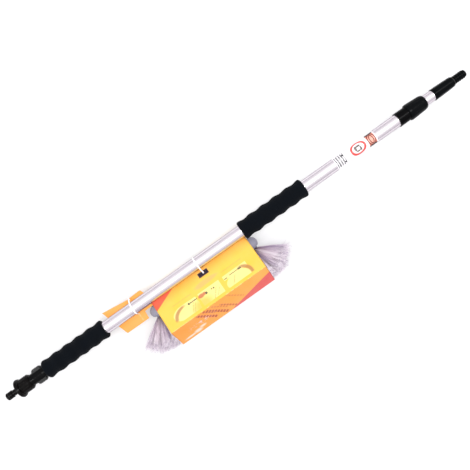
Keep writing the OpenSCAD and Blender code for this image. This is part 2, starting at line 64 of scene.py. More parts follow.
class Finish:
    """A material, with short ways to add nodes to its tree."""

    def __init__(self, name, **sockets):
        self.mat = bpy.data.materials.new(name)
        self.mat.use_nodes = True
        self.tree = self.mat.node_tree
        self.shader = self.tree.nodes["Principled BSDF"]
        for key, value in sockets.items():
            self.put(self.shader.inputs[key.replace("_", " ")], value)
        coords = self.tree.nodes.new("ShaderNodeTexCoord")
        self.place = coords.outputs["Object"]
        self.sheet = coords.outputs["UV"]

    def put(self, socket, value):
        """Links an output, or sets a plain number or colour."""
        if isinstance(value, bpy.types.NodeSocket):
            self.tree.links.new(value, socket)
        elif isinstance(value, (tuple, list)) and socket.type == "RGBA" and len(value) == 3:
            socket.default_value = (*value, 1)
        else:
            socket.default_value = value

    def to(self, key, value):
        """Feeds one socket of the shader."""
        self.put(self.shader.inputs[key], value)
        return self

    def node(self, kind, settings=None, **inputs):
        """Adds a shader node, with its settings and what feeds its sockets."""
        made = self.tree.nodes.new("ShaderNode" + kind)
        for key, value in (settings or {}).items():
            setattr(made, key, value)
        for key, value in inputs.items():
            self.put(made.inputs[key.replace("_", " ")], value)
        return made

    def sum(self, op, a, b=0.0, c=0.0):
        """One maths node."""
        made = self.node("Math", {"operation": op})
        for socket, value in zip(made.inputs, (a, b, c)):
            self.put(socket, value)
        return made.outputs[0]

    def mix(self, share, a, b):
        """Colour a, turning to b as share goes from 0 to 1."""
        made = self.node("Mix", {"data_type": "RGBA"})
        for index, value in ((0, share), (6, a), (7, b)):
            self.put(made.inputs[index], value)
        return made.outputs[2]

    def laid(self, colour, mask, tint, share=1.0):
        """A colour with some of a tint laid over it where the mask is 1."""
        return self.mix(mask if share == 1.0 else self.sum("MULTIPLY", mask, share), colour, tint)

    def gap(self, a, b):
        """How far apart two numbers are."""
        return self.sum("ABSOLUTE", self.sum("SUBTRACT", a, b))

    def rate(self, value, low, high, to_low=0.0, to_high=1.0):
        """Maps a value from one range to another, and holds it there."""
        made = self.node("MapRange", {"clamp": True})
        for socket, x in zip(made.inputs, (value, low, high, to_low, to_high)):
            self.put(socket, x)
        return made.outputs[0]

    def grain(self, scale, detail=4.0, rough=0.55, stretch=None, at=None):
        """Noise in metres, stretched along an axis if asked."""
        where = at or self.place
        if stretch:
            where = self.node("Mapping", Vector=where, Scale=stretch).outputs[0]
        made = self.node("TexNoise", Vector=where, Scale=scale, Detail=detail, Roughness=rough)
        return made.outputs[0]

    def cells(self, scale):
        """Distance to the middle of the nearest cell."""
        return self.node("TexVoronoi", Vector=self.place, Scale=scale).outputs[0]

    def split(self, vector):
        """The three numbers of a vector."""
        return self.node("SeparateXYZ", Vector=vector).outputs

    def bump(self, height, depth, strength=1.0):
        """Adds relief on top of any that is there."""
        made = self.node("Bump", Height=height, Distance=depth, Strength=strength)
        if self.shader.inputs["Normal"].is_linked:
            self.put(made.inputs["Normal"], self.shader.inputs["Normal"].links[0].from_socket)
        self.put(self.shader.inputs["Normal"], made.outputs[0])
        return self

    # Masks over a flat print. Each is 1 inside its shape, with a soft edge.
    def beyond(self, u, v, a, b, c, soft=0.25 * MM):
        """1 where a*u + b*v > c."""
        size = math.hypot(a, b)
        along = self.sum("MULTIPLY_ADD", u, a / size, self.sum("MULTIPLY", v, b / size))
        return self.rate(along, c / size - soft, c / size + soft)

    def both(self, *masks):
        """1 where every mask is 1."""
        out = masks[0]
        for m in masks[1:]:
            out = self.sum("MULTIPLY", out, m)
        return out

    def either(self, *masks):
        """1 where any mask is 1."""
        out = masks[0]
        for m in masks[1:]:
            out = self.sum("MAXIMUM", out, m)
        return out

    def without(self, mask, hole):
        """A mask with a hole cut in it."""
        return self.sum("MULTIPLY", mask, self.sum("SUBTRACT", 1.0, hole))

    def panel(self, u, v, u0, u1, v0, v1, soft=0.25 * MM):
        """A box from u0, v0 to u1, v1, given in millimetres."""
        du = self.sum("SUBTRACT", self.gap(u, (u0 + u1) / 2 * MM), (u1 - u0) / 2 * MM)
        dv = self.sum("SUBTRACT", self.gap(v, (v0 + v1) / 2 * MM), (v1 - v0) / 2 * MM)
        return self.rate(self.sum("MAXIMUM", du, dv), soft, -soft)

    def oval(self, u, v, cu, cv, ru, rv, soft=0.03):
        """An oval of half axes ru and rv about cu, cv, in millimetres."""
        du = self.sum("DIVIDE", self.sum("SUBTRACT", u, cu * MM), ru * MM)
        dv = self.sum("DIVIDE", self.sum("SUBTRACT", v, cv * MM), rv * MM)
        r = self.sum("SQRT", self.sum("ADD", self.sum("POWER", du, 2.0), self.sum("POWER", dv, 2.0)))
        return self.rate(r, 1 + soft, 1 - soft)


def toned(colour, by):
    """A colour times one number, or times one number for each channel."""
    return tuple(np.multiply(colour, by))


def moulded(name, colour, tint, rough=0.42, level=0.3, texture=0.00001):
    """Injection-moulded plastic: a fine spark texture, flow marks and faint handling scuffs."""
    f = Finish(name, Specular_IOR_Level=level)
    cloud = f.grain(35, 3)
    scuff = f.rate(f.grain(420, 6, 0.7, stretch=(0.25, 1, 1)), 0.60, 0.72)
    f.to("Base Color", f.laid(f.mix(cloud, colour, tint), scuff, toned(tint, 2.2), 0.3))
    sheen = f.rate(cloud, 0.3, 0.7, rough - 0.05, rough + 0.07)
    f.to("Roughness", f.sum("ADD", sheen, f.sum("MULTIPLY", scuff, 0.12)))
    f.bump(f.grain(2600, 2), texture, 0.5)
    return f.bump(f.grain(60, 2), 0.00012, 0.25)


def rubber(name, colour, tint, rough=0.62, level=0.3):
    """Moulded rubber: matt, with a faint bloom and dust in its hollows."""
    f = Finish(name, Specular_IOR_Level=level)
    bloom = f.grain(90, 5, 0.65)
    f.to("Base Color", f.mix(bloom, colour, tint))
    f.to("Roughness", f.rate(bloom, 0.3, 0.7, rough - 0.06, rough + 0.1))
    f.bump(f.grain(1500, 3), 0.00006, 0.6)
    return f.bump(f.grain(140, 3), 0.0002, 0.25)


def satin_metal(name, colour, tint, rough=0.3, edge=(0.6, 0.6, 0.6)):
    """Drawn and anodised tube: die lines along it, small scratches round it and finger marks."""
    f = Finish(name, Metallic=1.0, Specular_Tint=edge)
    lines = f.grain(900, 4, 0.6, stretch=(0.012, 1, 1))
    marks = f.grain(22, 5, 0.6)
    scratch = f.rate(f.grain(1400, 2, 0.5, stretch=(1, 0.04, 0.04)), 0.70, 0.76)
    f.to("Base Color", f.mix(f.rate(lines, 0.3, 0.7), colour, tint))
    handled = f.rate(marks, 0.35, 0.7, rough - 0.03, rough + 0.05)
    f.to("Roughness", f.sum("ADD", handled, f.sum("MULTIPLY", scratch, 0.06)))
    f.bump(lines, 0.000012, 0.5)
    return f.bump(scratch, 0.00001, 0.35)


def grip_foam(name, colour, tint):
    """Closed-cell foam: torn cells at the skin, soft mottling and a dull surface."""
    f = Finish(name, Specular_IOR_Level=0.05)
    cells = f.cells(1150)
    fine = f.cells(2600)
    mottle = f.grain(45, 4, 0.6)
    pits = f.rate(cells, 0.12, 0.55)
    f.to("Base Color", f.mix(f.sum("MULTIPLY", pits, mottle), colour, tint))
    f.to("Roughness", f.rate(mottle, 0.3, 0.7, 0.72, 0.9))
    f.to("Sheen Weight", 0.02).to("Sheen Roughness", 0.5)
    f.bump(pits, 0.00035, 0.75)
    f.bump(fine, 0.00012, 0.5)
    return f.bump(f.grain(70, 3), 0.0005, 0.35)


def bristle_fibre(name, root, middle, tip):
    """Flagged filament, dark at the root and pale at its split tip. UV = (share along it, its own tone)."""
    f = Finish(name, Specular_IOR_Level=0.35)
    u, v = f.split(f.sheet)[0:2]
    body = f.mix(f.rate(u, 0.02, 0.42), root, middle)
    body = f.mix(f.rate(u, 0.38, 0.85), body, tip)
    dark = f.sum("MULTIPLY", f.rate(v, 0.55, 0.85), f.rate(u, 0.45, 1.0, 0.8, 0.65))
    streak = f.mix(dark, body, (0.27, 0.19, 0.34))
    f.to("Base Color", f.mix(f.rate(v, 0.42, 0.12, 0.0, 0.75), streak, (0.99, 0.93, 0.98)))
    f.to("Roughness", f.rate(f.grain(500, 2), 0.3, 0.7, 0.42, 0.6))
    return f.bump(f.grain(3000, 2, stretch=(1, 0.2, 1)), 0.00003, 0.4)


def nylon(name, colour, tint):
    """Natural nylon tie: milky, with the fine teeth of its strap."""
    f = Finish(name, Specular_IOR_Level=0.5)
    cloud = f.grain(160, 3)
    f.to("Base Color", f.mix(cloud, colour, tint))
    f.to("Roughness", f.rate(cloud, 0.3, 0.7, 0.3, 0.42))
    teeth = f.node("TexWave", {"wave_type": "BANDS", "bands_direction": "X"}, Vector=f.sheet, Scale=160.0)
    return f.bump(teeth.outputs[1], 0.00012, 0.3)


def card_surface(f, colour, core):
    """Finishes printed board: fibres, a thin varnish, and bare board where its Face map is 1."""
    edge = f.rate(f.split(f.node("UVMap", {"uv_map": "Face"}).outputs[0])[0], 0.4, 0.6)
    fibre = f.grain(1300, 3, 0.6, stretch=(0.5, 1, 1))
    mottle = f.grain(30, 3)
    shaded = f.laid(colour, mottle, (1.0, 0.88, 0.62), 0.12)
    f.to("Base Color", f.mix(edge, shaded, core))
    varnish = f.rate(mottle, 0.3, 0.7, 0.34, 0.46)
    f.to("Roughness", f.sum("ADD", varnish, f.sum("MULTIPLY", edge, 0.4)))
    f.to("Specular IOR Level", 0.22)
    f.bump(fibre, 0.00005, 0.4)
    return f.bump(f.grain(26, 3), 0.0012, 0.18)


# ---------------------------------------------------------------- meshes

def new_piece(name, points, faces, finish, smooth=True, uv=None):
    """Makes a mesh object from points in metres and gives it its finish."""
    mesh = bpy.data.meshes.new(name)
    mesh.from_pydata([tuple(map(float, p)) for p in points], [], [tuple(map(int, q)) for q in faces])
    if uv is not None:
        layer = mesh.uv_layers.new(name="Sheet")
        loops = np.zeros(len(mesh.loops), np.int32)
        mesh.loops.foreach_get("vertex_index", loops)
        layer.data.foreach_set("uv", np.asarray(uv, np.float32)[loops].ravel())
    mesh.polygons.foreach_set("use_smooth", [smooth] * len(mesh.polygons))
    mesh.materials.append(finish.mat)
    mesh.validate()
    made = bpy.data.objects.new(name, mesh)
    bpy.context.scene.collection.objects.link(made)
    return made


def settle(obj):
    """Applies an object's modifiers."""
    bpy.context.view_layer.update()
    depsgraph = bpy.context.evaluated_depsgraph_get()
    mesh = bpy.data.meshes.new_from_object(obj.evaluated_get(depsgraph))
    obj.modifiers.clear()
    obj.data = mesh
    return obj


def rides(obj, body, node):
    """Puts a piece on its body in place of the node that it stands for."""
    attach(obj, body)
    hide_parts(node)


def board(name, points, faces, finish, uv, thick, outwards, bare_back):
    """Printed board, thickened inwards. Its Face map is 1 at cut edges, and on the back if that is bare."""
    made = new_piece(name, points, faces, finish, uv=uv)
    mesh = made.data
    if not outwards(mesh):
        mesh.flip_normals()
    mesh.uv_layers.new(name="Face")
    mesh.materials.append(finish.mat)
    solid = made.modifiers.new("board", "SOLIDIFY")
    solid.thickness, solid.offset, solid.use_rim = thick, -1.0, True
    solid.material_offset, solid.material_offset_rim = int(bare_back), 1
    mesh = settle(made).data
    flags = np.zeros((len(mesh.loops), 2), np.float32)
    for face in mesh.polygons:
        if face.material_index:
            flags[face.loop_start:face.loop_start + face.loop_total, 0] = 1
    mesh.uv_layers["Face"].data.foreach_set("uv", flags.ravel())
    mesh.polygons.foreach_set("material_index", np.zeros(len(mesh.polygons), np.int32))
    while len(mesh.materials) > 1:
        mesh.materials.pop()
    return made


def dress(finish, *nodes):
    """Gives CAD nodes their finish."""
    for name in nodes:
        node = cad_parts[name]
        node.data.materials.clear()
        node.data.materials.append(finish.mat)


def grid_faces(rows, columns, close=False, offset=0):
    """Quads of a grid of points, rows by columns, closed across its columns if asked."""
    faces = []
    for i in range(rows - 1):
        for j in range(columns if close else columns - 1):
            k = (j + 1) % columns
            faces.append((offset + i * columns + j, offset + (i + 1) * columns + j,
                          offset + (i + 1) * columns + k, offset + i * columns + k))
    return faces


def turned(profile, sides, wobble):
    """Points and faces of an outline of [x, radius] turned about the pole, its radius changed by wobble."""
    profile = np.asarray(profile, float)
    angle = np.linspace(0, 2 * math.pi, sides, endpoint=False)
    x, r = profile[:, 0][:, None], profile[:, 1][:, None]
    r = r * np.ones_like(angle)[None, :] + wobble(x, angle[None, :])
    points = np.stack([x + 0 * r, r * np.cos(angle), r * np.sin(angle)], -1).reshape(-1, 3)
    return points, grid_faces(len(profile), sides, close=True)


def rounded_loop(corners, radius, steps):
    """A closed polyline with its corners rounded."""
    pts, out = np.asarray(corners, float), []
    for i, p in enumerate(pts):
        a, b = pts[i - 1], pts[(i + 1) % len(pts)]
        da, db = (a - p) / np.linalg.norm(a - p), (b - p) / np.linalg.norm(b - p)
        half = math.acos(np.clip(da @ db, -1, 1)) / 2
        back = radius / math.tan(half)
        centre = p + (da + db) / np.linalg.norm(da + db) * radius / math.sin(half)
        s, e = p + da * back - centre, p + db * back - centre
        for t in np.linspace(0, 1, steps):
            v = s * (1 - t) + e * t
            out.append(centre + v / np.linalg.norm(v) * radius)
    return np.array(out)


def refined(path, step):
    """Adds points to a closed polyline so that no gap is over step."""
    out = []
    for i, a in enumerate(path):
        b = path[(i + 1) % len(path)]
        count = max(1, int(math.ceil(np.linalg.norm(b - a) / step)))
        out += [a + (b - a) * k / count for k in range(count)]
    return np.array(out)


def convex(points):
    """Convex outline of flat points, anticlockwise."""
    pts = sorted(map(tuple, np.round(points, 9)))

    def chain(seq):
        line = []
        for p in seq:
            while len(line) > 1 and np.cross(np.subtract(line[-1], line[-2]), np.subtract(p, line[-2])) <= 0:
                line.pop()
            line.append(p)
        return line[:-1]
    return np.array(chain(pts) + chain(pts[::-1]))


def strands(paths, radius, tone):
    """Thin three-sided fibres along paths of shape (count, points, 3), with UV = (share along, tone)."""
    count, steps = paths.shape[:2]
    along = paths[:, -1] - paths[:, 0]
    along /= np.linalg.norm(along, axis=1)[:, None]
    side = np.cross(along, np.array([0.31, 0.17, 0.93]))
    side /= np.linalg.norm(side, axis=1)[:, None]
    up = np.cross(along, side)
    share = np.linspace(0, 1, steps)
    width = radius[:, None] * (1 - 0.45 * share[None, :] ** 2)
    rings = []
    for k in range(3):
        a = 2 * math.pi * k / 3
        rings.append(paths + width[..., None] * (math.cos(a) * side + math.sin(a) * up)[:, None, :])
    points = np.stack(rings, 2).reshape(-1, 3)
    base = np.arange(count)[:, None] * steps * 3
    faces = []
    for i in range(steps - 1):
        for k in range(3):
            a, b = i * 3 + k, i * 3 + (k + 1) % 3
            faces.append(np.concatenate([base + a, base + b, base + b + 3, base + a + 3], 1))
    faces = np.stack(faces, 1).reshape(-1, 4)
    last = (steps - 1) * 3
    caps = np.concatenate([
        np.concatenate([base + 2, base + 1, base], 1),
        np.concatenate([base + last, base + last + 1, base + last + 2], 1),
    ])
    uv = np.stack([
        np.broadcast_to(share[None, :, None], (count, steps, 3)),
        np.broadcast_to(tone[:, None, None], (count, steps, 3)),
    ], -1).reshape(-1, 2)
    return points, faces.tolist() + caps.tolist(), uv


# ---------------------------------------------------------------- settings

class PoleSettings(bpy.types.PropertyGroup):
    tube_colour: FloatVectorProperty(
        name="Tube", description="Colour of the anodised tubes", subtype="COLOR",
        default=(0.84, 0.785, 0.83), min=0, max=1)
    plastic_colour: FloatVectorProperty(
        name="Plastic", description="Colour of the moulded parts", subtype="COLOR",
        default=(0.0012, 0.0012, 0.0014), min=0, max=1)
    foam_colour: FloatVectorProperty(
        name="Foam", description="Colour of the grips", subtype="COLOR",
        default=(0.0018, 0.0026, 0.0040), min=0, max=1)
    foam_pitting: FloatProperty(
        name="Foam pitting", description="Depth of the dents in a grip's skin", unit="LENGTH",
        default=0.22 * MM, min=0, max=0.5 * MM)
    print_colour: FloatVectorProperty(
        name="Label print", description="Colour of the ring and block on the label", subtype="COLOR",
        default=(0.66, 0.07, 0.06), min=0, max=1)


class BrushSettings(bpy.types.PropertyGroup):
    fibres: IntProperty(
        name="Fibres", description="Number of fibres in each fanned end", default=2000, min=400, max=2200)
    fibre_width: FloatProperty(
        name="Fibre width", description="Diameter of one fibre", unit="LENGTH",
        default=0.55 * MM, min=0.3 * MM, max=0.8 * MM)
    root_colour: FloatVectorProperty(
        name="Roots", description="Colour of the fibres at the block", subtype="COLOR",
        default=(0.24, 0.145, 0.165), min=0, max=1)
    middle_colour: FloatVectorProperty(
        name="Middle", description="Colour half way along the fibres", subtype="COLOR",
        default=(0.78, 0.62, 0.72), min=0, max=1)
    tip_colour: FloatVectorProperty(
        name="Tips", description="Colour of the split tips", subtype="COLOR",
        default=(0.97, 0.88, 0.95), min=0, max=1)
    bumper_colour: FloatVectorProperty(
        name="Bumper", description="Colour of the rubber rim", subtype="COLOR",
        default=(0.25, 0.24, 0.30), min=0, max=1)


class CardSettings(bpy.types.PropertyGroup):
    yellow: FloatVectorProperty(
        name="Yellow", description="Main colour of the sleeve", subtype="COLOR",
        default=(0.79, 0.465, 0.036), min=0, max=1)
    orange: FloatVectorProperty(
        name="Orange", description="Colour of the lower panels", subtype="COLOR",
        default=(0.78, 0.255, 0.014), min=0, max=1)
    tongue: FloatVectorProperty(
        name="Tongue", description="Colour of the card behind the pole", subtype="COLOR",
        default=(0.75, 0.275, 0.024), min=0, max=1)
    fold_radius: FloatProperty(
        name="Fold radius", description="Radius of a fold in the board", unit="LENGTH",
        default=1.1 * MM, min=0.6 * MM, max=3 * MM)


class StageSettings(bpy.types.PropertyGroup):
    floor_colour: FloatVectorProperty(
        name="Floor", description="Colour of the floor", subtype="COLOR",
        default=(0.55, 0.55, 0.555), min=0, max=1)
    overhead: FloatProperty(
        name="Overhead light", description="Power of the soft light above", unit="POWER",
        default=31.0, min=0, max=200)
    sky: FloatProperty(
        name="Room light", description="Strength of the light from all round", default=1.08, min=0, max=3)


# ---------------------------------------------------------------- pole

class WASHPOLE_OT_tubes(bpy.types.Operator):
    """Give both tubes their satin anodised finish"""
    bl_idname = "washpole.tubes"
    bl_label = "Finish the Tubes"

    def execute(self, context):
        colour = tuple(context.scene.washpole_pole.tube_colour)
        light = tuple(min(1.0, c * 1.07) for c in colour)
        anodised = satin_metal("anodised_tube", colour, light, 0.27, (0.14, 0.10, 0.14))
        dress(anodised, "outer_tube", "inner_tube")
        steel = satin_metal("plain_steel", (0.50, 0.50, 0.52), (0.62, 0.62, 0.64), 0.3)
        dress(steel, "valve_stop_pin", "socket_screws")
        return {"FINISHED"}


class WASHPOLE_OT_grips(bpy.types.Operator):
    """Build both foam grips, with swells, soft ends and a pitted skin"""
    bl_idname = "washpole.grips"
    bl_label = "Build the Grips"

    def dents(self, rng, x0, x1, depth):
        """The skin's dents, as a function of place along the pole and angle round it, fading at both ends."""
        count = 14
        phase = rng.uniform(0, 2 * math.pi, (count, 2))
        round_it, along_it = rng.integers(2, 9, count), rng.uniform(60, 420, count)

        def skin(x, a):
            out = 0 * x + 0 * a
            for p, m, n in zip(phase, round_it, along_it):
                out = out + np.sin(m * a + p[0]) * np.sin(n * x + p[1])
            fade = np.clip(np.minimum(x - x0, x1 - x) / (6 * MM), 0, 1)
            return -depth * (0.5 + out / 7.0) * fade
        return skin

    def outline(self, x0, x1):
        """A grip's outline of [x, radius]: five swells, round rims and lips that close on the tube."""
        rim, mean, swell, swells = 4 * MM, 18.0 * MM, 1.02 * MM, 5
        curl = rim * (1 - np.cos(np.linspace(0, math.pi / 2, 9)))
        xs = np.concatenate([x0 + curl, np.linspace(x0 + rim, x1 - rim, 150)[1:-1], x1 - curl[::-1]])
        wave = mean + swell * np.cos(2 * math.pi * swells * (xs - x0 - rim) / (x1 - x0 - 2 * rim))
        inwards = np.maximum(0, np.maximum(x0 + rim - xs, xs - x1 + rim))
        rs = wave - (rim - np.sqrt(np.maximum(0, rim * rim - inwards * inwards)))
        inner = TUBE_R + 0.03 * MM
        lip = ((0.25 * MM, 0.0), (0.05 * MM, 0.4 * MM), (0.0, 0.8 * MM))
        profile = [[x0 + dx, inner + dr] for dx, dr in lip] + [[x, r] for x, r in zip(xs, rs)]
        return profile + [[x1 - dx, inner + dr] for dx, dr in lip[::-1]] + [[x0 + lip[0][0], inner]]

    def execute(self, context):
        s = context.scene.washpole_pole
        colour = tuple(s.foam_colour)
        foam = grip_foam("grip_foam", colour, toned(colour, 2.3))
        for seed, name in ((40, "rear_grip"), (41, "front_grip")):
            low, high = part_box(name)
            skin = self.dents(np.random.default_rng(seed), low.x, high.x, s.foam_pitting)
            points, faces = turned(self.outline(low.x, high.x), 112, skin)
            grip = new_piece(name + "_foam", points, faces, foam)
            rides(grip, "pole", name)
        return {"FINISHED"}


class WASHPOLE_OT_hose_end(bpy.types.Operator):
    """Finish the hose nipple, its nut and the valve"""
    bl_idname = "washpole.hose_end"
    bl_label = "Finish the Hose End"

    def execute(self, context):
        colour = tuple(context.scene.washpole_pole.plastic_colour)
        warm = toned(colour, (1.5, 1.15, 0.9))
        hose = moulded("hose_plastic", warm, toned(warm, 1.8), 0.14, 0.1)
        dress(hose, "hose_nipple", "coupling_nut", "swivel_spigot")
        valve = moulded("valve_plastic", colour, toned(colour, 1.8), 0.14, 0.1)
        dress(valve, "valve_core", "valve_sleeve", "tube_plug")
        brown = moulded("marker_plastic", (0.050, 0.026, 0.016), (0.075, 0.042, 0.028), 0.38, 0.1)
        dress(brown, "valve_marker")
        dress(rubber("washer_rubber", (0.16, 0.03, 0.02), (0.22, 0.05, 0.03)), "swivel_washer")
        seal = rubber("seal_rubber", (0.008, 0.008, 0.008), (0.018, 0.018, 0.018), 0.45)
        dress(seal, "nipple_o_ring", "valve_o_rings", "tube_plug_o_ring", "piston_seals",
              "tip_plug_o_ring", "tip_o_ring", "socket_seal", "block_gasket", "wiper_ring")
        return {"FINISHED"}


class WASHPOLE_OT_twist_lock(bpy.types.Operator):
    """Finish the ringed collar, the fluted lock collar and what they hold"""
    bl_idname = "washpole.twist_lock"
    bl_label = "Finish the Twist Lock"

    def execute(self, context):
        colour = tuple(context.scene.washpole_pole.plastic_colour)
        cool = toned(colour, (0.9, 1.25, 1.4))
        dress(moulded("collar_plastic", colour, toned(colour, 1.8), 0.18, 0.065), "collar_body")
        dress(moulded("lock_plastic", cool, toned(cool, 1.8), 0.2, 0.07), "lock_collar")
        dress(moulded("bush_plastic", (0.04, 0.04, 0.045), (0.06, 0.06, 0.065), 0.35, 0.4, 0.00002),
              "stop_bush", "piston")
        dress(moulded("collet_plastic", (0.62, 0.61, 0.57), (0.70, 0.69, 0.65), 0.35, 0.45, 0.00002),
              "lock_collet")
        return {"FINISHED"}


class WASHPOLE_OT_tip(bpy.types.Operator):
    """Finish the tapered tip and its thread"""
    bl_idname = "washpole.tip"
    bl_label = "Finish the Tip"

    def execute(self, context):
        colour = tuple(context.scene.washpole_pole.plastic_colour)
        cool = toned(colour, (0.8, 1.2, 1.3))
        dress(moulded("tip_plastic", cool, toned(cool, 1.8), 0.15, 0.065), "tip_adapter")
        return {"FINISHED"}


class WASHPOLE_OT_label(bpy.types.Operator):
    """Print the film label with plain generic shapes"""
    bl_idname = "washpole.label"
    bl_label = "Print the Pole Label"

    def execute(self, context):
        f = Finish("label_film", Specular_IOR_Level=0.5)
        x, y, z = f.split(f.place)
        turn = f.sum("MULTIPLY", f.sum("ARCTAN2", y, f.sum("ABSOLUTE", z)), TUBE_R)
        top = f.rate(z, -0.1 * MM, 0.1 * MM)
        red = tuple(context.scene.washpole_pole.print_colour)
        ring = f.without(f.oval(x, turn, 826, 0, 16.8, 13.8), f.oval(x, turn, 826, 0.5, 12.4, 9.6))
        leaf = f.either(
            f.oval(x, turn, 820.5, 1.5, 2.4, 5.2), f.oval(x, turn, 826.5, 4.2, 5.6, 1.9),
            f.oval(x, turn, 830.5, -2.2, 2.0, 4.8), f.oval(x, turn, 824.5, -4.6, 4.4, 1.6))
        block = f.panel(x, turn, 848, 865, -15, 15)
        ends = f.both(block, f.rate(f.sum("ABSOLUTE", turn), 10.6 * MM, 11.2 * MM))
        rounds = f.either(
            f.without(f.oval(x, turn, 856.5, 0, 8.4, 12.5), f.oval(x, turn, 856.5, 0, 6.7, 10.2)),
            f.without(f.oval(x, turn, 856.5, 0, 4.6, 9.6), f.oval(x, turn, 856.5, 0, 2.8, 7.4)))
        bars = f.sum("SINE", f.sum("MULTIPLY", x, 2 * math.pi / (4.9 * MM)))
        rows = f.both(f.panel(x, turn, 775, 795, -12, 13), f.rate(bars, -0.55, -0.25),
                      f.rate(f.grain(900, 1), 0.42, 0.46))
        spot = f.either(f.panel(x, turn, 791.5, 795, 5, 9), f.panel(x, turn, 790.5, 795, -9, -6))
        heart = f.oval(x, turn, 856.5, 0, 6.7, 9.9)
        colour = f.mix(f.grain(60, 3), (0.84, 0.82, 0.84), (0.90, 0.88, 0.89))
        for shape, tint, share in (
                (ring, red, 1.0), (leaf, (0.16, 0.13, 0.12), 1.0), (block, (0.64, 0.20, 0.14), 1.0),
                (heart, (0.86, 0.46, 0.36), 0.7), (rounds, (0.16, 0.025, 0.02), 1.0),
                (ends, (0.03, 0.02, 0.02), 1.0), (rows, (0.05, 0.05, 0.06), 1.0),
                (spot, (0.02, 0.02, 0.025), 1.0)):
            colour = f.laid(colour, f.both(shape, top), tint, share)
        f.to("Base Color", colour)
        f.to("Roughness", f.rate(f.grain(40, 4), 0.3, 0.7, 0.3, 0.45))
        f.bump(f.grain(500, 2), 0.00002, 0.3)
        f.bump(f.grain(45, 2), 0.0002, 0.2)
        dress(f, "pole_label")
        return {"FINISHED"}


# ---------------------------------------------------------------- brush head

# The sleeve's section as [y, z] in metres, from the fold by the pole round to the back
FOLDS = np.array([[-1.0, -12.672], [-82.0, 7.011], [-117.0, -33.0], [-84.0, -62.5], [-2.0, -62.5]]) * MM
# Which side of that section lies on the floor
FLOOR_SIDE = 3
# Where the sleeve starts and ends along the pole
SLEEVE_X = [corner.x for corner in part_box("card_sleeve")]
# The slot for the front tie, from x to x and from y to y
SLOT = (434.2 * MM, 454.4 * MM, -26.6 * MM, -19.2 * MM)


def kept_inside(points, margin):
    """Moves points inside the sleeve's section, which gives past the sleeve's ends, but not at the floor."""
    centre = FOLDS.mean(0)
    past = np.maximum(0, np.maximum(SLEEVE_X[0] - points[..., 0], points[..., 0] - SLEEVE_X[1]))
    give = np.minimum(0.6 * past, 8 * MM)
    # A push off one side can end beyond the next one, so they are all gone through again
    for _ in range(3):
        for i in range(len(FOLDS)):
            a, b = FOLDS[i], FOLDS[(i + 1) % len(FOLDS)]
            out = np.array([b[1] - a[1], a[0] - b[0]])
            out /= np.linalg.norm(out)
            if out @ (centre - a) > 0:
                out = -out
            over = np.maximum(0, (points[..., 1:] - a) @ out + margin - (0 if i == FLOOR_SIDE else give))
            points[..., 1:] -= over[..., None] * out
    # The fibres lie closer and closer towards the nose
    start, room = -108 * MM, 8.4 * MM
    deep = np.maximum(0, start - points[..., 1])
    points[..., 1] += deep - room * (1 - np.exp(-deep / room))
    return points


class WASHPOLE_OT_brush_body(bpy.types.Operator):
    """Finish the block, its rubber rim and the socket"""
    bl_idname = "washpole.brush_body"
    bl_label = "Finish the Brush Body"

    def execute(self, context):
        colour = tuple(context.scene.washpole_brush.bumper_colour)
        rim = rubber("bumper_rubber", colour, toned(colour, 1.25), 0.5, 0.4)
        unshaded_rubber = rim.shader.inputs["Base Color"].links[0].from_socket
        # Painted shade: the part that the sleeve covers is painted dark, standing in for the shade under the
        # sleeve; the ends keep the rubber's own colour
        ends = rim.rate(rim.gap(rim.split(rim.place)[0], 440 * MM), 92 * MM, 106 * MM)
        rim.to("Base Color", rim.mix(ends, (0.030, 0.014, 0.032), unshaded_rubber))
        dress(rim, "brush_bumper")
        block = moulded("block_plastic", (0.016, 0.009, 0.018), (0.026, 0.015, 0.028), 0.4, 0.1)
        dress(block, "brush_block", "bristle_plate", "brush_socket")
        return {"FINISHED"}


